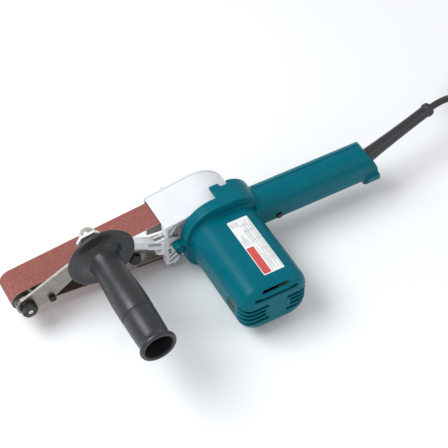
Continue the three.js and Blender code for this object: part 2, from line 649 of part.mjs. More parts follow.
// ---------------------------------------------------------------- side grip
const GRIP_END = GRIP.disc - GRIP.length;
const gripProfile = [
  [0, GRIP.disc + 2], [31, GRIP.disc + 2.6], [33.5, GRIP.disc + 0.6], [33.5, GRIP.disc - 0.8],
  [30, GRIP.disc - 1.6], [19, GRIP.disc - 3.6], [15.6, GRIP.disc - 7], [14.4, GRIP.disc - 12],
  [14.6, GRIP.disc - 26], [16.2, GRIP.disc - 52], [16.1, GRIP.disc - 74], [15.2, GRIP.disc - 75.5],
  [15.9, GRIP.disc - 77], [15.1, GRIP.disc - 104], [17.6, GRIP.disc - 109], [17.8, GRIP_END + 2.5],
  [16.6, GRIP_END], [14.2, GRIP_END], [13.3, GRIP_END + 2], [12.6, GRIP_END + 36], [0, GRIP_END + 38],
  [0, GRIP.disc + 2],
];
add("side_grip",
  cut(turnedY(gripProfile, GRIP.x, GRIP.z, 22), rodY(4.3, GRIP.disc - 22, 0, GRIP.x, GRIP.z, 14)), BLACK);
add("grip_collar", cut(
  join(rodY(12, -27.5, -21.4, GRIP.x, GRIP.z, 6), rodY(10, GRIP.disc + 3, -27, GRIP.x, GRIP.z)),
  rodY(4.3, -60, 0, GRIP.x, GRIP.z, 14),
), DARK_STEEL);
add("grip_stud", rodY(4, GRIP.disc - 20, -10.5, GRIP.x, GRIP.z, 14), STEEL);
add("grip_nut", turnedY([
  [4.3, WALL_FAR + 0.4], [8, WALL_FAR + 0.4], [8, WALL_FAR + 5.4], [7.4, WALL_FAR + 8],
  [5.2, WALL_FAR + 10.4],
  [2.2, WALL_FAR + 11.6], [0, WALL_FAR + 11.8], [0, WALL_FAR + 9], [4.3, WALL_FAR + 9], [4.3, WALL_FAR + 0.4],
], GRIP.x, GRIP.z, 20), STEEL);

// ---------------------------------------------------------------- inside and on the handle
const triggerShape = polygon([
  [53.3, -2.2], [50.6, -5], [53.6, -8.4], [56, -12.2], [74, -15.2], [87, -14.8], [91, -12],
  [91.8, -3], [84, -1.5],
]);
add("trigger", prismY(triggerShape, -32, -20.4), BLACK);
add("switch_body", box(66, 110, -36.4, -24.5, 6, 24).add(box(72, 80, -31, -27, 2.7, 7)), BLACK);
add("lock_button", join(
  rodY(2.9, -45.6, -40.2, BUTTON.x, BUTTON.z, 14),
  rodY(4.4, -41.4, -40, BUTTON.x, BUTTON.z, 14),
), BLACK);
add("cord_clamp", box(133, 141, -33, -24.5, 6.5, 9.3).add(box(133, 141, -33, -30.4, 6.5, 14)), BLACK);

const GUARD_END = new THREE.Vector3(269, -6, 19.8);
const CORD_ROUTE = [
  [270, -5.8, 19.9], [282, -3.2, 19], [296, 0.6, 14.8], [308, 5.5, 6.5], [319, 11.5, -5], [329, 18, -16],
  [338.5, 25.2, -24.6], [348.8, 33.9, -28.6],
];
const TAIL_ROUTE = [
  [438.8, -4.2, -21.1], [439.8, -18, -22], [439, -32, -23.8], [437, -46, -24], [434.6, -59.4, -22.9],
];

// The strain relief: a root held in the handle, a tapered sleeve along the lead and a collar at its end.
function cordGuard() {
  const root = rodX(7.8, 158, GUARD.x + 1, GUARD.y, GUARD.z, 12);
  const flange = rodX(10, 164.4, 170.6, GUARD.y, GUARD.z, 16);
  const start = new THREE.Vector3(GUARD.x - 1, GUARD.y, GUARD.z);
  const length = start.distanceTo(GUARD_END);
  const along = GUARD_END.clone().sub(start).normalize();
  const profile = [
    [0, 0], [8, 0], [6.6, 0.45 * length], [6.3, length - 6], [7.4, length - 5.4], [7.4, length - 0.8],
    [6.8, length], [0, length],
  ].map(([r, y]) => new THREE.Vector2(r, y));
  const turn = new THREE.Quaternion().setFromUnitVectors(new THREE.Vector3(0, 1, 0), along);
  const sleeve = new THREE.LatheGeometry(profile, 14).applyQuaternion(turn);
  return join(root, flange, solid(sleeve.translate(...start.toArray())));
}
add("cord_guard", cordGuard(), BLACK);
const cordTube = (route, radius) => tube(route, radius, 8, 3 * (route.length - 1));
add("cord_run", cordTube(CORD_ROUTE, CORD_D / 2), BLACK);
add("cord_tail", cordTube(TAIL_ROUTE, CORD_D / 2), BLACK);

function cordCoil() {
  const profile = [
    [COIL.inner, COIL.base], [COIL.outer, COIL.base], [COIL.outer, COIL.base + COIL.height],
    [COIL.inner, COIL.base + COIL.height], [COIL.inner, COIL.base],
  ];
  const ring = new THREE.LatheGeometry(profile.map(([r, z]) => new THREE.Vector2(r, z)), 32);
  return cut(
    solid(ring.rotateX(Math.PI / 2).translate(COIL.x, COIL.y, 0)),
    ...[CORD_ROUTE, TAIL_ROUTE].map((route) => cordTube(route, CORD_D / 2 + GAP)),
  );
}
add("cord_coil", cordCoil(), BLACK);

// A strap that holds the coil's turns together.
const strap = [
  COIL.x - COIL.outer, COIL.x - COIL.inner + 0.8, COIL.y - 4, COIL.y + 4, COIL.base, COIL.base + COIL.height,
];
function grown(by, along) {
  return strap.map((value, i) => value + (i % 2 ? 1 : -1) * (i === 2 || i === 3 ? along : by));
}
add("cord_tie", cut(box(...grown(1.4, 0)), box(...grown(GAP, 1))), BLACK);

const PLUG = { x: 434.2, near: -60.4, far: -104, z: -22.6 };
add("plug_body", join(
  rodY(6, PLUG.near - 14, PLUG.near, PLUG.x, PLUG.z, 14),
  prismY(roundedBox(PLUG.x - 17.5, PLUG.x + 17.5, PLUG.z - 11, PLUG.z + 11, 9), PLUG.far, PLUG.near - 12),
), BLACK);
[-9.5, 9.5].forEach((side, i) =>
  add("plug_pin_" + (i + 1), rodY(2.4, PLUG.far - 19, PLUG.far - GAP, PLUG.x + side, PLUG.z, 12), BRASS));

// The origin is under the middle of everything but the loose lead, on the surface that the tool stands on.
const LOOSE = ["cord_run", "cord_coil", "cord_tail", "cord_tie", "plug_body", "plug_pin_1", "plug_pin_2"];
const bounds = new THREE.Box3();
for (const piece of sander.children) {
  if (!LOOSE.includes(piece.name)) bounds.expandByObject(piece);
}
const middle = bounds.getCenter(new THREE.Vector3());
sander.position.set(-middle.x, -middle.y, -bounds.min.z);
sander.updateMatrixWorld(true);
export default sander;
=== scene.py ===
"""The looks of a handheld belt sander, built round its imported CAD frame.

Pieces are made in millimetres in the drive pulley's frame: its axis is the Y axis, the belt's nose points
to -X, the rear handle to +X and the motor to -Y. ROW takes that frame to the row frame, in metres.
"""
import json
import math

import bmesh
import bpy
from mathutils import Matrix, Vector


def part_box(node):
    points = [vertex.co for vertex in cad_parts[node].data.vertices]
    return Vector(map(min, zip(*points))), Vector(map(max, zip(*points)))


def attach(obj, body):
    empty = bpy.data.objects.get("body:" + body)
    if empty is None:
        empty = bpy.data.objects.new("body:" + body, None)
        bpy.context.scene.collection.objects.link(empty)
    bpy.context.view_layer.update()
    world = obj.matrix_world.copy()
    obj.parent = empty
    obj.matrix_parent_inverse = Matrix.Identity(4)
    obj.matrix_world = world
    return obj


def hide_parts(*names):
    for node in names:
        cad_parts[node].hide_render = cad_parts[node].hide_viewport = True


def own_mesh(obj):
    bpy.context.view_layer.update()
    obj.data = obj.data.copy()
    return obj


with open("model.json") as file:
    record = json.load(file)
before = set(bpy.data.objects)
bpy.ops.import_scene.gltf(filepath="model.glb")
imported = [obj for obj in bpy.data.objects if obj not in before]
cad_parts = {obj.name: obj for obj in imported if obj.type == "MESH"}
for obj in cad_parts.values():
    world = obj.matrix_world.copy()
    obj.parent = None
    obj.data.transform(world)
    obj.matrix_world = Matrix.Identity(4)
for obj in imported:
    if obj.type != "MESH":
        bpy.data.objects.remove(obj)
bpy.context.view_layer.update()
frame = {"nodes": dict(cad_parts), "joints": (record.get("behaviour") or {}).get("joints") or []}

MM = 0.001
JOINTS = {joint["name"]: joint for joint in frame["joints"]}
DRIVE = Vector(JOINTS["drive_spin"]["pos_m"])
ROW = Matrix.Translation(DRIVE) @ Matrix.Scale(MM, 4)
IDLER_X = (JOINTS["idler_spin"]["pos_m"][0] - DRIVE.x) / MM


def at(x, y, z):
    """A point in the drive pulley's frame as one in the row frame."""
    return ROW @ Vector((x, y, z))


# ------------------------------------------------------------------ materials
class Look:
    """A procedural material: a Principled shader and the nodes that feed it."""

    def __init__(self, name, **sockets):
        self.material = bpy.data.materials.new(name)
        self.material.use_nodes = True
        self.tree = self.material.node_tree
        self.shader = self.tree.nodes["Principled BSDF"]
        self.place = self.node("ShaderNodeTexCoord").outputs["Object"]
        for socket, value in sockets.items():
            self.shader.inputs[socket.replace("_", " ")].default_value = value

    def node(self, kind, inputs=None, **settings):
        made = self.tree.nodes.new(kind)
        for key, value in settings.items():
            setattr(made, key, value)
        for key, value in (inputs or {}).items():
            if isinstance(value, bpy.types.NodeSocket):
                self.tree.links.new(value, made.inputs[key])
            else:
                made.inputs[key].default_value = value
        return made

    def noise(self, size, detail=3.0, stretch=(1, 1, 1)):
        """Noise whose features are about size millimetres across."""
        scaled = self.node("ShaderNodeMapping", {"Vector": self.place, "Scale": stretch})
        settings = {"Vector": scaled.outputs[0], "Scale": 1 / (size * MM), "Detail": detail}
        return self.node("ShaderNodeTexNoise", settings).outputs[0]

    def grains(self, size):
        """The random shade of each grain, for grains about size millimetres across."""
        cells = self.node("ShaderNodeTexVoronoi", {"Vector": self.place, "Scale": 1 / (size * MM)})
        shade = self.node("ShaderNodeSeparateColor", {"Color": cells.outputs["Color"]})
        return shade.outputs[0], cells.outputs["Distance"]

    def range(self, value, low, high, start=0.3, end=0.7):
        spread = {"Value": value, "From Min": start, "From Max": end, "To Min": low, "To Max": high}
        return self.node("ShaderNodeMapRange", spread).outputs[0]

    def ramp(self, value, stops):
        made = self.node("ShaderNodeValToRGB", {"Fac": value})
        elements = made.color_ramp.elements
        while len(elements) < len(stops):
            elements.new(0.5)
        for element, (place, color) in zip(elements, stops):
            element.position = place
            element.color = (*color, 1)
        return made.outputs[0]

    def feed(self, socket, value):
        self.tree.links.new(value, self.shader.inputs[socket])
        return self

    def bump(self, height, depth, strength=1.0, under=None):
        """Relief of depth millimetres from a height between 0 and 1."""
        inputs = {"Height": height, "Distance": depth * MM, "Strength": strength}
        if under:
            inputs["Normal"] = under
        return self.node("ShaderNodeBump", inputs).outputs[0]


def shades(color, spread):
    """A darker and a lighter neighbour of a colour."""
    return [(0.3, tuple(c * (1 - spread) for c in color)), (0.7, tuple(c * (1 + spread) for c in color))]


def moulded_plastic(name, color, roughness, grain=0.5, depth=0.02, spread=0.05, specular=0.5):
    look = Look(name, Specular_IOR_Level=specular)
    look.feed("Base Color", look.ramp(look.noise(18, 4), shades(color, spread)))
    look.feed("Roughness", look.range(look.noise(3.5, 5), roughness - 0.05, roughness + 0.06))
    broad = look.bump(look.noise(9, 2), 0.12, 0.5)
    look.feed("Normal", look.bump(look.noise(grain, 2), depth, 0.8, broad))
    return look.material


def bare_metal(name, color, roughness, stretch=(1, 1, 1), grain=0.8, depth=0.03, metallic=0.95, spread=0.12):
    look = Look(name, Metallic=metallic)
    look.feed("Base Color", look.ramp(look.noise(5, 6), shades(color, spread)))
    look.feed("Roughness", look.range(look.noise(1.6, 5, stretch), roughness - 0.09, roughness + 0.12))
    look.feed("Normal", look.bump(look.noise(grain, 4, stretch), depth, 0.8))
    return look.material


def painted_casting(name, color):
    look = Look(name, Coat_Weight=0.25, Coat_Roughness=0.2)
    look.feed("Base Color", look.ramp(look.noise(22, 3), shades(color, 0.025)))
    look.feed("Roughness", look.range(look.noise(4, 4), 0.3, 0.42))
    skin = look.bump(look.noise(2.4, 2), 0.05, 0.6)
    look.feed("Normal", look.bump(look.noise(14, 2), 0.15, 0.5, skin))
    return look.material


def abrasive_grit(name):
    look = Look(name, Roughness=0.85)
    shade, edge = look.grains(0.42)
    fine, _ = look.grains(0.2)
    patches = look.range(look.noise(7, 4), 0.0, 1.0)
    reds = look.ramp(shade, [
        (0.0, (0.105, 0.026, 0.022)), (0.35, (0.255, 0.067, 0.055)), (0.75, (0.34, 0.100, 0.082)),
        (0.94, (0.43, 0.16, 0.13)), (1.0, (0.64, 0.43, 0.37)),
    ])
    dusty = look.ramp(fine, [(0.0, (0.17, 0.045, 0.038)), (1.0, (0.37, 0.115, 0.095))])
    inputs = {0: patches, 6: reds, 7: dusty}
    mixed = look.node("ShaderNodeMix", inputs, data_type="RGBA")
    look.feed("Base Color", mixed.outputs[2])
    look.feed("Normal", look.bump(edge, 0.16, 0.9))
    return look.material


def belt_cloth(name):
    look = Look(name, Roughness=0.9)
    look.feed("Base Color", look.ramp(look.noise(2.5, 5), shades((0.055, 0.027, 0.02), 0.35)))
    waves = {"Vector": look.place, "Scale": 420.0, "Distortion": 0.3}
    weft = look.node("ShaderNodeTexWave", waves, bands_direction="X").outputs[1]
    warp = look.node("ShaderNodeTexWave", waves, bands_direction="Y").outputs[1]
    look.feed("Normal", look.bump(weft, 0.08, 0.7, look.bump(warp, 0.08, 0.7)))
    return look.material


LOOKS = {
    "teal_plastic": moulded_plastic("teal_plastic", (0.0, 0.118, 0.158), 0.3, depth=0.012, specular=0.1),
    "black_plastic": moulded_plastic("black_plastic", (0.016, 0.016, 0.018), 0.36, grain=0.4, depth=0.03),
    "grip_plastic": moulded_plastic("grip_plastic", (0.021, 0.022, 0.024), 0.36, grain=0.5, depth=0.02),
    "black_rubber": moulded_plastic("black_rubber", (0.024, 0.023, 0.026), 0.42, grain=0.35, depth=0.03),
    "carbon": moulded_plastic("carbon", (0.02, 0.02, 0.02), 0.6),
    "white_casting": painted_casting("white_casting", (0.72, 0.735, 0.755)),
    "cast_aluminium": bare_metal(
        "cast_aluminium", (0.80, 0.805, 0.815), 0.42, grain=1.1, depth=0.07, metallic=0.35, spread=0.06,
    ),
    "steel": bare_metal("steel", (0.30, 0.275, 0.25), 0.38, stretch=(0.25, 1, 1), metallic=0.85),
    "bright_steel": bare_metal("bright_steel", (0.66, 0.625, 0.56), 0.22, spread=0.08),
    "dark_steel": bare_metal("dark_steel", (0.045, 0.043, 0.042), 0.36, grain=0.7, metallic=0.8, spread=0.3),
    "brass": bare_metal("brass", (0.50, 0.37, 0.17), 0.34),
    "copper": bare_metal("copper", (0.34, 0.16, 0.09), 0.36),
    "abrasive": abrasive_grit("abrasive"),
    "belt_cloth": belt_cloth("belt_cloth"),
    "belt_edge": moulded_plastic("belt_edge", (0.33, 0.19, 0.14), 0.85, grain=0.3, depth=0.05, spread=0.2),
    "label_white": moulded_plastic("label_white", (0.78, 0.78, 0.765), 0.33, depth=0.006, spread=0.02),
    "label_red": moulded_plastic("label_red", (0.56, 0.075, 0.07), 0.33, depth=0.006, spread=0.04),
    "label_grey": moulded_plastic("label_grey", (0.27, 0.28, 0.30), 0.36, depth=0.006, spread=0.04),
}


# ------------------------------------------------------------------ mesh tools
def fillet(points, radius, steps=4, closed=False):
    """A line of 2-D points whose corners become curves that start radius away, where there is room."""
    rounded = []
    count = len(points)
    for i, point in enumerate(points):
        if not closed and i in (0, count - 1):
            rounded.append(tuple(point))
            continue
        here = Vector(point)
        before = Vector(points[i - 1]) - here
        after = Vector(points[(i + 1) % count]) - here
        reach = min(radius, 0.48 * before.length, 0.48 * after.length)
        start = here + before.normalized() * reach
        end = here + after.normalized() * reach
        for k in range(steps + 1):
            t = k / steps
            rounded.append(tuple(start * (1 - t) ** 2 + here * 2 * t * (1 - t) + end * t ** 2))
    return rounded


def arc(radius, start, end, steps, x=0.0, z=0.0):
    """Points on a circle, with the angles in degrees."""
    turns = [math.radians(start + (end - start) * k / steps) for k in range(steps + 1)]
    return [(x + radius * math.cos(t), z + radius * math.sin(t)) for t in turns]


def ring_strip(bm, rings, closed=False):
    """Joins rings of vertices, each with as many, into a surface."""
    pairs = list(zip(rings, rings[1:])) + ([(rings[-1], rings[0])] if closed else [])
    for first, second in pairs:
        for i in range(len(first)):
            j = (i + 1) % len(first)
            bm.faces.new((first[i], first[j], second[j], second[i]))


def turned(profile, sides=96, place=Matrix.Identity(4)):
    """A closed profile of (radius, y), from the axis back to the axis or closed on itself, turned about Y."""
    bm = bmesh.new()
    rings = []
    for k in range(sides):
        turn = 2 * math.pi * k / sides
        rings.append([bm.verts.new((r * math.cos(turn), y, r * math.sin(turn))) for r, y in profile])
    ring_strip(bm, rings, closed=True)
    bmesh.ops.remove_doubles(bm, verts=bm.verts, dist=1e-4)
    bmesh.ops.recalc_face_normals(bm, faces=bm.faces)
    bm.transform(place)
    return bm


def prism(outline, y0, y1, rounding=0.0, steps=3):
    """An outline in X and Z between two Y levels, with its rims rounded."""
    bm = bmesh.new()
    base = bm.faces.new([bm.verts.new((x, y0, z)) for x, z in outline])
    made = bmesh.ops.extrude_face_region(bm, geom=[base])
    top = [v for v in made["geom"] if isinstance(v, bmesh.types.BMVert)]
    bmesh.ops.translate(bm, verts=top, vec=(0, y1 - y0, 0))
    bmesh.ops.recalc_face_normals(bm, faces=bm.faces)
    if rounding:
        rims = [e for e in bm.edges if abs(e.verts[0].co.y - e.verts[1].co.y) < 1e-6]
        bmesh.ops.bevel(bm, geom=rims, offset=rounding, segments=steps, profile=0.5, affect="EDGES")
    return bm


def merged(*parts):
    whole = bmesh.new()
    for part in parts:
        mesh = bpy.data.meshes.new("part")
        part.to_mesh(mesh)
        whole.from_mesh(mesh)
        bpy.data.meshes.remove(mesh)
    return whole


def shift(x=0.0, y=0.0, z=0.0):
    return Matrix.Translation((x, y, z))


def cad(node):
    """A CAD node's mesh in the drive pulley's frame."""
    bm = bmesh.new()
    bm.from_mesh(frame["nodes"][node].data)
    bm.transform(ROW.inverted())
    bmesh.ops.remove_doubles(bm, verts=bm.verts, dist=1e-3)
    return bm


def scratch(bm):
    mesh = bpy.data.meshes.new("scratch")
    bm.to_mesh(mesh)
    made = bpy.data.objects.new("scratch", mesh)
    bpy.context.scene.collection.objects.link(made)
    return made


def worked(bm, *steps):
    """A mesh after a list of (modifier type, settings)."""
    made = scratch(bm)
    helpers = []
    for kind, settings in steps:
        modifier = made.modifiers.new(kind, kind)
        for key, value in settings.items():
            if isinstance(value, bmesh.types.BMesh):
                value = scratch(value)
                helpers.append(value)
            setattr(modifier, key, value)
    bpy.context.view_layer.update()
    evaluated = made.evaluated_get(bpy.context.evaluated_depsgraph_get())
    result = bmesh.new()
    result.from_mesh(evaluated.to_mesh())
    for extra in [made, *helpers]:
        bpy.data.objects.remove(extra)
    return result


def minus(bm, *tools):
    cut = {"operation": "DIFFERENCE", "solver": "EXACT"}
    return worked(bm, *[("BOOLEAN", {"object": tool, **cut}) for tool in tools])


def soft_edged(bm, voxel, rounds, keep=1.0):
    """The mesh as a casting or moulding: joined into one skin, with every edge rounded."""
    steps = [
        ("REMESH", {"mode": "VOXEL", "voxel_size": voxel}),
        ("SMOOTH", {"factor": 0.5, "iterations": rounds}),
    ]
    if keep < 1:
        steps.append(("DECIMATE", {"ratio": keep}))
    return worked(bm, *steps)


def piece(name, bm, look, nodes=(), body="housing", sharp=38.0, looks=()):
    """Makes a finished piece out of a mesh in the drive pulley's frame."""
    mesh = bpy.data.meshes.new(name)
    bm.transform(ROW)
    bm.to_mesh(mesh)
    mesh.polygons.foreach_set("use_smooth", [True] * len(mesh.polygons))
    mesh.set_sharp_from_angle(angle=math.radians(sharp))
    for key in (look, *looks):
        mesh.materials.append(LOOKS[key])
    made = bpy.data.objects.new(name, mesh)
    bpy.context.scene.collection.objects.link(made)
    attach(made, body)
    if nodes:
        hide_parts(*nodes)
    return made


# ------------------------------------------------------------------ camera, light and floor
CAMERA_AT = at(-397.0, -755.9, 988.8)
AZIMUTH, ELEVATION, ROLL = -29.285, 49.727, 0.11
LENS = 105.67


def camera():
    data = bpy.data.cameras.new("camera")
    data.lens = LENS
    data.sensor_width = 36
    data.clip_end = 20
    made = bpy.data.objects.new("camera", data)
    heading = Matrix.Rotation(math.radians(AZIMUTH), 4, "Z")
    pitch = Matrix.Rotation(math.radians(90 - ELEVATION), 4, "X")
    roll = Matrix.Rotation(math.radians(ROLL), 4, "Z")
    made.matrix_world = Matrix.Translation(CAMERA_AT) @ heading @ pitch @ roll
    bpy.context.scene.collection.objects.link(made)
    bpy.context.scene.camera = made


def softbox(name, place, aim, size, power, color=(1, 1, 1)):
    data = bpy.data.lights.new(name, "AREA")
    data.shape = "RECTANGLE"
    data.size, data.size_y = size
    data.energy = power
    data.color = color
    made = bpy.data.objects.new(name, data)
    made.location = place
    made.rotation_euler = (Vector(aim) - Vector(place)).to_track_quat("-Z", "Y").to_euler()
    bpy.context.scene.collection.objects.link(made)


def studio():
    softbox("key", (-0.9, 0.35, 1.35), (0, 0, 0), (1.1, 0.8), 21, (0.93, 0.98, 1))
    softbox("fill", (1.1, -0.9, 0.9), (0, -0.05, 0), (1.0, 0.7), 3.2)
    softbox("front", (-0.6, -1.5, 0.55), (0, 0, 0.03), (1.0, 0.5), 1.6)
    world = bpy.data.worlds.new("studio")
    world.use_nodes = True
    world.node_tree.nodes["Background"].inputs["Color"].default_value = (0.97, 0.98, 1, 1)
    world.node_tree.nodes["Background"].inputs["Strength"].default_value = 0.6
    bpy.context.scene.world = world
    bpy.context.scene.view_settings.view_transform = "Standard"


def floor():
    bm = bmesh.new()
    bmesh.ops.create_grid(bm, x_segments=1, y_segments=1, size=4)
    mesh = bpy.data.meshes.new("floor")
    bm.to_mesh(mesh)
    look = Look("pale_floor", Roughness=0.9)
    look.feed("Base Color", look.ramp(look.noise(400, 3), shades((0.9, 0.9, 0.9), 0.01)))
    mesh.materials.append(look.material)
    made = bpy.data.objects.new("floor", mesh)
    made.location.z = -0.0002
    bpy.context.scene.collection.objects.link(made)


camera()
studio()
floor()

# ------------------------------------------------------------------ the lead
CORD_D = 7.3
CORD_ROUTE = [
    (270, -5.8, 19.9), (282, -3.2, 19), (296, 0.6, 14.8), (308, 5.5, 6.5), (319, 11.5, -5), (329, 18, -16),
    (338.5, 25.2, -24.6), (348.8, 33.9, -28.6),
]
TAIL_ROUTE = [
    (438.8, -4.2, -21.1), (439.8, -18, -22), (439, -32, -23.8), (437, -46, -24), (434.6, -59.4, -22.9),
]
COIL = {"x": 384, "y": -8, "row": 54.9, "pitch": 7.4, "low": -28.6, "rows": 4, "turns": 8.35, "start": 130.0}
TURN_POINTS = 18


def coil_point(turns):
    """A point on the coil: in along the lower layer, up, and out along the upper one."""
    last = COIL["rows"] - 1
    if turns <= COIL["rows"]:
        inward = min(turns, last)
    else:
        inward = max(last - (turns - COIL["rows"]), 0)
    radius = COIL["row"] - COIL["pitch"] * inward
    rise = min(max((turns - COIL["rows"] + 0.2) / 0.2, 0), 1)
    lift = COIL["pitch"] * rise * rise * (3 - 2 * rise)
    turn = math.radians(COIL["start"]) - 2 * math.pi * turns
    return (COIL["x"] + radius * math.cos(turn), COIL["y"] + radius * math.sin(turn), COIL["low"] + lift)


def lead():
    coiled = [coil_point(k / TURN_POINTS) for k in range(1, int(COIL["turns"] * TURN_POINTS))]
    points = [at(*p) for p in [*CORD_ROUTE, *coiled, *TAIL_ROUTE]]
    curve = bpy.data.curves.new("lead", "CURVE")
    curve.dimensions = "3D"
    curve.bevel_depth = CORD_D / 2 * MM
    curve.bevel_resolution = 6
    curve.resolution_u = 6
    spline = curve.splines.new("BEZIER")
    spline.bezier_points.add(len(points) - 1)
    for knot, point in zip(spline.bezier_points, points):
        knot.co = point
        knot.handle_left_type = knot.handle_right_type = "AUTO"
    curve.materials.append(LOOKS["black_rubber"])
    made = bpy.data.objects.new("lead", curve)
    bpy.context.scene.collection.objects.link(made)
    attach(made, "housing")
    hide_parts("cord_run", "cord_coil", "cord_tail")
    return made


def plug():
    """A moulded two-pin plug with a waist to hold it by, narrowing to where the lead enters."""
    x, z = 434.2, -22.6
    levels = [
        (-60.4, 5.6, 5.4), (-66, 6.4, 6.2), (-71, 8.5, 7.2), (-76, 13.5, 9), (-82, 15.6, 9.6),
        (-90, 15.0, 9.4), (-96, 16.6, 10.3), (-101, 17.2, 10.7), (-103.4, 16.8, 10.3), (-104, 15.8, 9.4),
    ]
    bm = bmesh.new()
    rings = []
    for y, half_x, half_z in levels:
        corner = min(half_x, half_z) * 0.9
        outline = []
        for cx, cz, start in ((1, 1, 0), (-1, 1, 90), (-1, -1, 180), (1, -1, 270)):
            middle = (x + cx * (half_x - corner), z + cz * (half_z - corner))
            outline += arc(corner, start, start + 90, 8, *middle)
        rings.append([bm.verts.new((px, y, pz)) for px, pz in outline])
    ring_strip(bm, rings)
    bm.faces.new(rings[0])
    bm.faces.new(rings[-1])
    bmesh.ops.recalc_face_normals(bm, faces=bm.faces)
    bm = worked(bm, ("SUBSURF", {"levels": 1, "render_levels": 1}))
    body = piece("plug", bm, "black_plastic", ["plug_body"])
    pins = []
    profile = fillet([(0, 0), (2.35, 0), (2.35, -15.5), (1.9, -18.2), (0, -18.7)], 0.8)
    for i, side in enumerate((-9.5, 9.5)):
        pin = turned(profile, 40, shift(x + side, -104.3, z))
        pins.append(piece(f"plug_pin_{i + 1}_bright", pin, "brass", [f"plug_pin_{i + 1}"]))
    return [body, *pins]


def tie():
    """A strap round the coil's turns."""
    low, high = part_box("cord_tie")
    lo, hi = ROW.inverted() @ low, ROW.inverted() @ high
    outer = fillet([(lo.x, lo.z), (hi.x, lo.z), (hi.x, hi.z), (lo.x, hi.z)], 3, 5, closed=True)
    thick = 1.0
    left, right = lo.x + thick, hi.x - thick
    bottom, top = lo.z + thick, hi.z - thick
    inner = fillet([(left, bottom), (right, bottom), (right, top), (left, top)], 2, 5, closed=True)
    bm = bmesh.new()
    loops = []
    for outline, y in ((outer, lo.y), (outer, hi.y), (inner, hi.y), (inner, lo.y)):
        loops.append([bm.verts.new((px, y, pz)) for px, pz in outline])
    ring_strip(bm, loops, closed=True)
    bmesh.ops.recalc_face_normals(bm, faces=bm.faces)
    return piece("coil_strap", bm, "black_plastic", ["cord_tie"])


lead()
plug()
tie()

# ------------------------------------------------------------------ the abrasive belt
BELT = {"half": 15.0, "thick": 1.0, "drive": 32.3, "idler": 11.3}


def belt():
    """A loop of cloth with grit on its outside and chamfered edges."""
    tilt = math.asin((BELT["drive"] - BELT["idler"]) / -IDLER_X)
    lean = math.degrees(tilt)
    around = [(0.0, a) for a in (-(90 + lean) + (180 + 2 * lean) * k / 72 for k in range(73))]
    around += [(IDLER_X, 90 + lean + (180 - 2 * lean) * k / 48) for k in range(49)]
    bm = bmesh.new()
    rings = []
    edge = BELT["half"]
    half_section = [(edge - 0.5, BELT["thick"]), (edge, BELT["thick"] - 0.35), (edge, 0.25), (edge - 0.2, 0)]
    section = half_section + [(-y, out) for y, out in reversed(half_section)]
    for centre, degrees in around:
        radius = BELT["drive"] if centre == 0 else BELT["idler"]
        turn = math.radians(degrees)
        ring = []
        for y, out in section:
            reach = radius + out
            ring.append(bm.verts.new((centre + reach * math.cos(turn), y, reach * math.sin(turn))))
        rings.append(ring)
    ring_strip(bm, rings, closed=True)
    bmesh.ops.recalc_face_normals(bm, faces=bm.faces)
    grit, cloth, rim = range(3)
    drive_end = -25
    idler_end = IDLER_X + 2
    tolerance = 0.1
    for face in bm.faces:
        middle = face.calc_center_median()
        if max(abs(v.co.y) for v in face.verts) >= edge - tolerance:
            face.material_index = rim
            continue
        if middle.x > drive_end:
            out_of = middle
        elif middle.x < idler_end:
            out_of = middle - Vector((IDLER_X, 0, 0))
        else:
            out_of = Vector((0, 0, 1 if middle.z > 0 else -1))
        face.material_index = grit if face.normal.dot(out_of) > 0 else cloth
    piece("belt_loop", bm, "abrasive", ["abrasive_belt"], looks=["belt_cloth", "belt_edge"], sharp=30)


belt()

# ------------------------------------------------------------------ shells and castings
piece("motor_shell", soft_edged(cad("motor_housing"), 0.65, 12, 0.35), "teal_plastic", ["motor_housing"])
piece("handle_far_half", soft_edged(cad("handle_cover"), 0.6, 8, 0.4), "teal_plastic", ["handle_cover"])


SLOT_HALF = 1.2
# Box round the hood's near-wall pocket: faces inside it are coloured black as painted shade, not as a black
# part.
PAINTED_SHADE_BOX = {"x": (-50, -33), "y": (-25.1, -18.4), "z": (-28, 0)}


def hood():
    """The casting with the ribs, pockets and slots of its near wall, whose pocket faces are coloured black as
    painted shade.
    """
    body = cad("gear_housing")
    body = merged(body, prism([(-44, -27), (-36.9, -26.2), (-36.9, -4.5), (-44, -2)], -26, -20))
    upper = prism([(-48.4, 1.5), (-48.4, 26.3), (-41.5, 29), (-41.5, 1.5)], -27, -21.2)
    slots = []
    for low, high in (((-48.2, -15.0), (-37.4, -7.4)), ((-48.2, -22.0), (-35.4, -14.6))):
        below = [(low[0], low[1] - SLOT_HALF), (high[0], high[1] - SLOT_HALF)]
        above = [(high[0], high[1] + SLOT_HALF), (low[0], low[1] + SLOT_HALF)]
        slots.append(below + above)
    opening = [(-41.5, -26.4), (-33, -27.6), (-33, -19.6), (-35.4, -20.2)]
    tools = [prism(outline, -27, -19) for outline in [*slots, opening]]
    hole = prism(arc(1.7, 0, 345, 23, -47.6, -4.2), -27, -20)
    body = soft_edged(body, 0.45, 1)
    body = minus(body, upper, *tools, hole)
    ribs = [
        prism([(-47.6, 17.4), (-46, 16.2), (-39.4, 25.0), (-40.9, 26.6)], -25.6, -20.4),
        prism(arc(3.6, 0, 342, 19, -43.6, 8.6), -25.4, -20.4),
        prism([(-47.8, 3.2), (-46.3, 2.6), (-46.3, 14.6), (-47.8, 13.6)], -25.6, -20.4),
    ]
    body = soft_edged(merged(body, *ribs), 0.42, 3, 0.35)
    # Painted shade: the pocket floor and slot-wall faces inside the box take the black material.
    for face in body.faces:
        middle = face.calc_center_median()
        in_painted_shade = all(low < getattr(middle, axis) < high for axis, (low, high) in PAINTED_SHADE_BOX.items())
        face.material_index = 1 if in_painted_shade else 0
    piece("belt_hood", body, "white_casting", ["gear_housing"], looks=["black_plastic"])


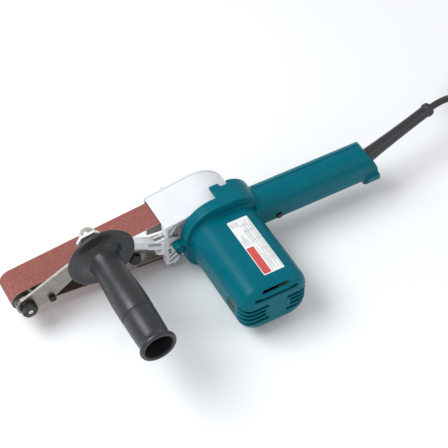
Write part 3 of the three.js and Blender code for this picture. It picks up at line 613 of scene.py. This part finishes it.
hood()
piece("hood_cover", soft_edged(cad("side_cover"), 0.5, 4, 0.4), "white_casting", ["side_cover"])
piece("arm_casting", soft_edged(cad("cast_arm"), 0.42, 4, 0.4), "cast_aluminium", ["cast_arm"])

# ------------------------------------------------------------------ side grip
GRIP = {"x": -125.7, "z": 51.0, "disc": -43.5}


def side_grip():
    """A hollow moulded grip with a dished hand guard, a ring groove and a flared open end."""
    profile = fillet([
        (0, 2), (12, 2), (14, 2.8), (30.5, 2.8), (33, 1.9), (33.5, 0.6), (33.5, -0.6), (32.6, -1.5),
        (31, -1.4), (26, -0.5), (21.5, -0.9), (19.6, -2.2), (18.2, -3.9), (16.4, -4.6), (15.1, -7.4),
        (14.5, -12), (14.5, -18), (14.8, -30), (15.7, -44), (16.2, -56), (16.2, -66), (15.95, -74.4),
        (15.0, -74.9), (15.0, -75.9), (15.9, -76.4), (15.7, -88), (15.2, -101.5), (15.1, -106.5),
        (15.6, -109), (16.8, -110.3), (17.7, -111.4), (17.7, -113.2), (17.0, -114.6), (15.6, -115),
        (14.4, -114.8), (13.6, -113.8), (13.2, -111), (12.6, -79), (11.5, -77.2), (0, -77),
    ], 1.1, 3)
    place = shift(GRIP["x"], GRIP["disc"], GRIP["z"])
    piece("grip", turned(profile, 112, place), "grip_plastic", ["side_grip"], sharp=50)


def hexagon(across, x=0.0, z=0.0, turn=0.0):
    """Six corners with the distance given between flats."""
    radius = across / math.sqrt(3)
    corners = [math.radians(turn + 60 * k) for k in range(6)]
    return [(x + radius * math.cos(angle), z + radius * math.sin(angle)) for angle in corners]


def hex_head(across, y0, y1, x, z, chamfer, turn=0.0):
    """A hexagon along Y whose end at y0 is cut back by a cone."""
    bm = prism(fillet(hexagon(across, x, z, turn), 0.35, 3, closed=True), y0, y1, 0.25, 2)
    wide = across / math.sqrt(3) + 1
    flat = across / 2 - 0.2
    side = 1 if y1 > y0 else -1
    far = wide + 3
    slope = side * chamfer / (wide - flat)
    cone = turned([
        (flat, -side * 2), (far, -side * 2), (far, slope * (far - flat)), (flat, 0), (flat, -side * 2),
    ], 72, shift(x, y0, z))
    return minus(bm, cone)


def grip_mount():
    """The grip's collar with its wrench flats, and the domed nut on the far side of the arm."""
    x, z = GRIP["x"], GRIP["z"]
    barrel = fillet([(0, -40.4), (9.9, -40.4), (9.9, -34), (9.2, -33.2), (9.2, -27.5), (0, -27.5)], 0.5, 3)
    collar = merged(hex_head(20.6, -27.6, -21.5, x, z, 1.4, 12), turned(barrel, 72, shift(x, 0, z)))
    piece("grip_collar_dark", collar, "dark_steel", ["grip_collar"])
    dome = [(r, -11.4 + y * 0.72) for r, y in arc(7.6, 0, 86, 10)]
    skirt = [(0, -17.3), (8.2, -17.3), (8.4, -16.7), (8.4, -12.6), (7.9, -12), dome[0]]
    nut = turned(fillet(skirt, 0.3, 2) + dome[1:] + [(0, -5.9)], 72, shift(x, 0, z))
    piece("domed_nut", nut, "bright_steel", ["grip_nut"])


side_grip()
grip_mount()

# ------------------------------------------------------------------ rating label
BARREL = {"x": 5.5, "top": 33.0, "flat": 14.0, "corner": 22.0}
LABEL = {"x": (1.2, 23.1), "y": (-122.3, -50.7)}


def barrel_top(x):
    past = max(abs(x - BARREL["x"]) - BARREL["flat"], 0)
    return BARREL["top"] - BARREL["corner"] + math.sqrt(BARREL["corner"] ** 2 - past ** 2)


def film(x0, x1, y0, y1, low, high, index):
    """A thin sheet that follows the barrel's top, between two heights above it."""
    bm = bmesh.new()
    rounded = fillet([(x0, y0), (x1, y0), (x1, y1), (x0, y1)], min(1.2, 0.4 * (x1 - x0)), 4, closed=True)
    steps = [x0 + (x1 - x0) * k / 10 for k in range(1, 10)]
    base = bm.faces.new([bm.verts.new((x, y, 0)) for x, y in rounded])
    base.material_index = index
    for x in steps:
        geom = bm.verts[:] + bm.edges[:] + bm.faces[:]
        bmesh.ops.bisect_plane(bm, geom=geom, plane_co=(x, 0, 0), plane_no=(1, 0, 0))
    made = bmesh.ops.extrude_face_region(bm, geom=bm.faces[:])
    raised = {v for v in made["geom"] if isinstance(v, bmesh.types.BMVert)}
    for vert in bm.verts:
        vert.co.z = barrel_top(vert.co.x) + (high if vert in raised else low)
    bmesh.ops.recalc_face_normals(bm, faces=bm.faces)
    return bm


def label():
    """A white film with a red block and grey rules that stand for the rating text."""
    films = [film(*LABEL["x"], *LABEL["y"], 0.15, 0.48, 0)]
    ink = (0.49, 0.54)
    films.append(film(1.9, 9.6, -121.2, -87.0, *ink, 1))
    rules = [
        (11.6, -120, -90), (13.4, -118, -98), (15.2, -120, -57), (18.0, -120, -53), (20.0, -112, -60),
        (21.6, -120, -54), (3.4, -84, -77), (5.0, -84, -71), (6.6, -84, -71), (8.2, -84, -76),
        (11.6, -84, -66), (13.4, -84, -62),
    ]
    for x, y0, y1 in rules:
        films.append(film(x, x + 0.42, y0, y1, *ink, 2))
    for y, x0, x1 in ((-106, 15.4, 22), (-93, 15.4, 22), (-80, 15.4, 22), (-68, 10.5, 22), (-60, 10.5, 18)):
        films.append(film(x0, x1, y - 0.2, y + 0.2, *ink, 2))
    for x, y in ((4.2, -56.5), (8.6, -56.5)):
        films.append(film(x - 1.3, x + 1.3, y - 2.4, y + 2.4, *ink, 2))
        films.append(film(x - 0.8, x + 0.8, y - 1.9, y + 1.9, ink[1], ink[1] + 0.02, 0))
    inks = ["label_red", "label_grey"]
    piece("rating_label", merged(*films), "label_white", ["name_plate"], looks=inks)


label()

# ------------------------------------------------------------------ small hardware that shows
def lug_plug():
    """The moulded plug over the lug's screw."""
    bm = turned(fillet([(0, -35.7), (4.2, -35.7), (4.2, -30.5), (0, -30.5)], 0.6, 3), 48, shift(-40, 0, 3))
    piece("lug_plug", bm, "teal_plastic", ["housing_screw_1"])


def axle_end():
    """A dark hexagon nut on a washer, with the axle's bright socket end in it."""
    x, z = IDLER_X, 0
    washer = turned(fillet([(0, -25.4), (8.1, -25.4), (8.1, -24.0), (0, -24.0)], 0.35, 2), 64, shift(x, 0, z))
    bore = turned([(0, -34), (2.5, -34), (2.5, -29), (0, -29)], 32, shift(x, 0, z))
    nut = minus(hex_head(13.8, -31.9, -25.3, x, z, 1.0, 8), bore)
    end = fillet([(0, -31.0), (0.9, -31.0), (0.9, -31.8), (2.3, -31.8), (2.3, -29.2), (0, -29.2)], 0.25, 2)
    pin = turned(end, 32, shift(x, 0, z))
    piece("axle_socket_end", pin, "bright_steel", body="idler_axle")
    piece("axle_hexagon", merged(washer, nut), "dark_steel", ["axle_nut"], body="idler_axle")


def belt_spring():
    """The coil that keeps the belt tight; on the tool it shortens as the idler arm slides back, but this mesh
    keeps one length.
    """
    free, fixed = -114.4, -99.1
    y, z = -9, 2
    turns, coil, wire = 7, 3.05, 0.55
    turn_points, sides = 28, 10
    bm = bmesh.new()
    rings = []
    for k in range(turns * turn_points + 1):
        turn = 2 * math.pi * k / turn_points
        x = free + (fixed - free) * k / (turns * turn_points)
        ring = []
        for j in range(sides):
            around = 2 * math.pi * j / sides
            reach = coil + wire * math.cos(around)
            spot = (x + wire * math.sin(around), y + reach * math.cos(turn), z + reach * math.sin(turn))
            ring.append(bm.verts.new(spot))
        rings.append(ring)
    ring_strip(bm, rings)
    bm.faces.new(rings[0])
    bm.faces.new(rings[-1])
    bmesh.ops.recalc_face_normals(bm, faces=bm.faces)
    made = piece("belt_spring", bm, "steel", ["tension_spring"])
    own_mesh(made)


lug_plug()
axle_end()
belt_spring()

# ------------------------------------------------------------------ cord guard
GUARD = {"start": Vector((175, -26.8, 12.3)), "end": Vector((269, -6, 19.8))}


def cord_guard():
    along = GUARD["end"] - GUARD["start"]
    length = along.length
    profile = fillet([
        (0, 0), (8, 0), (7.8, 6), (7.2, 0.2 * length), (6.6, 0.45 * length), (6.3, 0.7 * length),
        (6.3, length - 7.2), (6.7, length - 6.2), (7.4, length - 5.6), (7.4, length - 1.6),
        (7.0, length - 0.5), (5.2, length), (0, length),
    ], 0.8, 3)
    turn = Vector((0, 1, 0)).rotation_difference(along).to_matrix().to_4x4()
    sleeve = turned(profile, 64, Matrix.Translation(GUARD["start"]) @ turn)
    to_x = Matrix.Rotation(math.radians(-90), 4, "Z")
    steps = [(0, 0), (7.7, 0), (7.7, 6.4), (9.9, 6.4), (9.9, 12.5), (7.7, 12.5), (7.7, 18.5), (0, 18.5)]
    place = shift(158, GUARD["start"].y, GUARD["start"].z) @ to_x
    root = turned(fillet(steps, 0.4, 2), 64, place)
    piece("cord_sleeve", merged(sleeve, root), "black_rubber", ["cord_guard"])


cord_guard()

# ------------------------------------------------------------------ everything else keeps its CAD shape
KEPT = {
    "steel": [
        "spindle", "spindle_bearing_near", "spindle_bearing_far", "spindle_gear", "layshaft_gear",
        "armature_shaft", "armature_bearing_near", "armature_bearing_far", "platen", "idler_arm",
        "idler_axle", "idler_roller", "grip_stud", "side_cover_screw_1", "side_cover_screw_2",
        "arm_screw_1", "arm_screw_2",
    ],
    "cast_aluminium": ["gear_plate", "drive_pulley"],
    "dark_steel": [
        "armature_core", "stator", "handle_screw_1", "handle_screw_2", "housing_screw_2",
        "guide_bolt_front", "guide_bolt_rear", "tracking_screw",
    ],
    "brass": ["brush_holder_left", "brush_holder_right"],
    "copper": ["commutator"],
    "carbon": ["carbon_brush_left", "carbon_brush_right"],
    "black_plastic": [
        "fan", "brush_cap_left", "brush_cap_right", "trigger", "switch_body", "lock_button", "cord_clamp",
    ],
}


def finish_node(node, look):
    """A CAD node keeps its shape, with fine rounded edges and a procedural material."""
    made = frame["nodes"][node]
    made.data.materials.clear()
    made.data.materials.append(LOOKS[look])
    made.modifiers.new("flat", "DECIMATE").decimate_type = "DISSOLVE"
    made.modifiers["flat"].angle_limit = math.radians(0.5)
    rounding = made.modifiers.new("rounding", "BEVEL")
    rounding.width = 0.25 * MM
    rounding.segments = 2
    rounding.limit_method = "ANGLE"
    rounding.angle_limit = math.radians(40)
    made.data.polygons.foreach_set("use_smooth", [True] * len(made.data.polygons))
    made.data.set_sharp_from_angle(angle=math.radians(38))


for look_name, node_names in KEPT.items():
    for node_name in node_names:
        finish_node(node_name, look_name)
